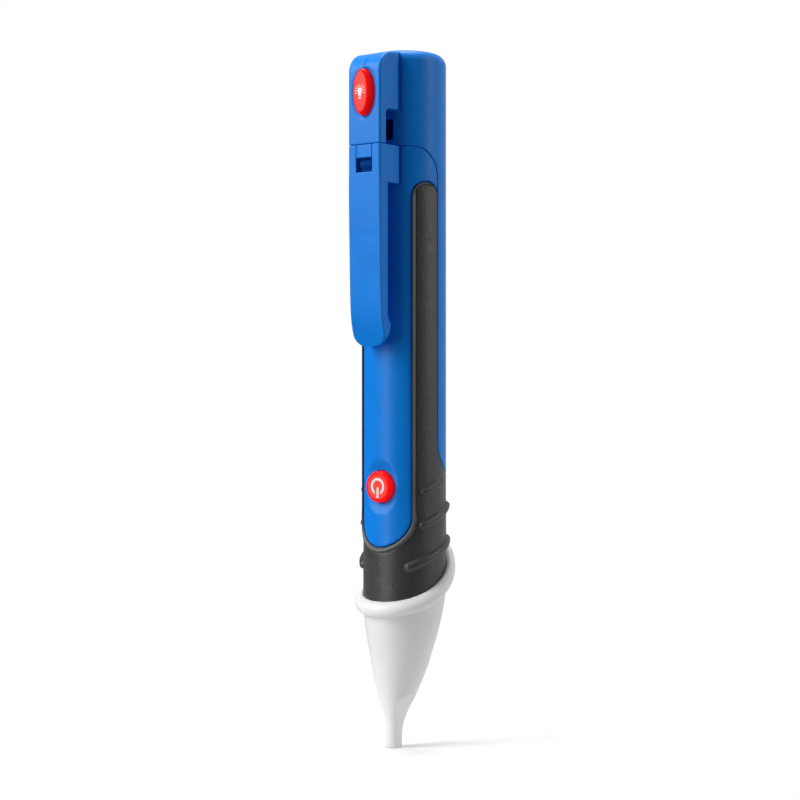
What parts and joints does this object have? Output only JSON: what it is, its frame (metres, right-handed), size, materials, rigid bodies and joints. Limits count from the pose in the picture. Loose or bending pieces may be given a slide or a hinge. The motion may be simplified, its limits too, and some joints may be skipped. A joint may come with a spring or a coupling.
{
  "type": "non contact voltage tester",
  "caption": "Pen-shaped non contact voltage tester with a white probe tip, rubber grip, pocket clip, power and flashlight buttons, and cells in a slide-out carrier.",
  "frame": {"origin": "centre of the flat end face of the probe tip", "axes": "+Z from the probe to the head, along the barrel; -Y is the side with the clip and buttons; +X is the pen's right side with the clip facing the viewer"},
  "size_m": [0.0256, 0.0312, 0.1769],
  "materials": {
    "blue_plastic": "satin",
    "black_rubber": "matte",
    "white_plastic": "satin",
    "red_button": "satin",
    "dark_plastic": "matte",
    "circuit_board": "satin",
    "component_black": "satin",
    "component_grey": "satin",
    "switch_ivory": "satin",
    "spring_steel": "satin",
    "contact_metal": "satin",
    "cell_sleeve": "satin",
    "red_lamp": "gloss",
    "clear_lamp": "gloss",
    "clear_lens": "gloss"
  },
  "bodies": {
    "front_body": {"front_shell": "blue_plastic", "grip_sleeve": "black_rubber", "clip_base": "blue_plastic", "clip_screw": "spring_steel", "probe_tip": "white_plastic", "sensor_antenna": "contact_metal", "indicator_led": "red_lamp", "main_pcb": "circuit_board", "pcb_screws": "spring_steel", "controller_chip": "component_black", "smd_parts": "component_grey", "contact_leaves": "contact_metal", "buzzer": "component_black", "power_switch_body": "component_black"},
    "clip_arm": {"pocket_clip": "blue_plastic"},
    "power_button": {"power_button": "red_button", "power_switch_plunger": "switch_ivory"},
    "carrier": {"rear_shell": "blue_plastic", "battery_tray": "dark_plastic", "tray_screws": "spring_steel", "battery_1": "cell_sleeve", "battery_2": "cell_sleeve", "battery_spring": "spring_steel", "negative_strip": "contact_metal", "positive_strip": "contact_metal", "flashlight_pcb": "circuit_board", "flashlight_switch_body": "component_black", "flashlight_led": "clear_lamp", "flashlight_lens": "clear_lens"},
    "flashlight_button": {"flashlight_button": "red_button", "flashlight_switch_plunger": "switch_ivory"},
    "catch": {"release_catch": "blue_plastic"}
  },
  "joints": [
    {"name": "clip_flex", "type": "hinge", "parent": "front_body", "child": "clip_arm", "pos_m": [0, -0.0119, 0.1421], "axis": [-1, 0, 0], "range_deg": [0, 6], "stiffness_Nm_per_rad": 0.8},
    {"name": "power_button_press", "type": "slide", "parent": "front_body", "child": "power_button", "axis": [0, 1, 0], "range_m": [0, 0.0005], "stiffness_N_per_m": 400},
    {"name": "carrier_slide", "type": "slide", "parent": "front_body", "child": "carrier", "axis": [0, 0, 1], "range_m": [0, 0.096], "deforming": ["release_catch"]},
    {"name": "flashlight_button_press", "type": "slide", "parent": "carrier", "child": "flashlight_button", "axis": [0, 1, 0], "range_m": [0, 0.0005], "stiffness_N_per_m": 400},
    {"name": "catch_press", "type": "hinge", "parent": "carrier", "child": "catch", "pos_m": [0, -0.0101, 0.1564], "axis": [1, 0, 0], "range_deg": [0, 6], "stiffness_Nm_per_rad": 0.05}
  ]
}
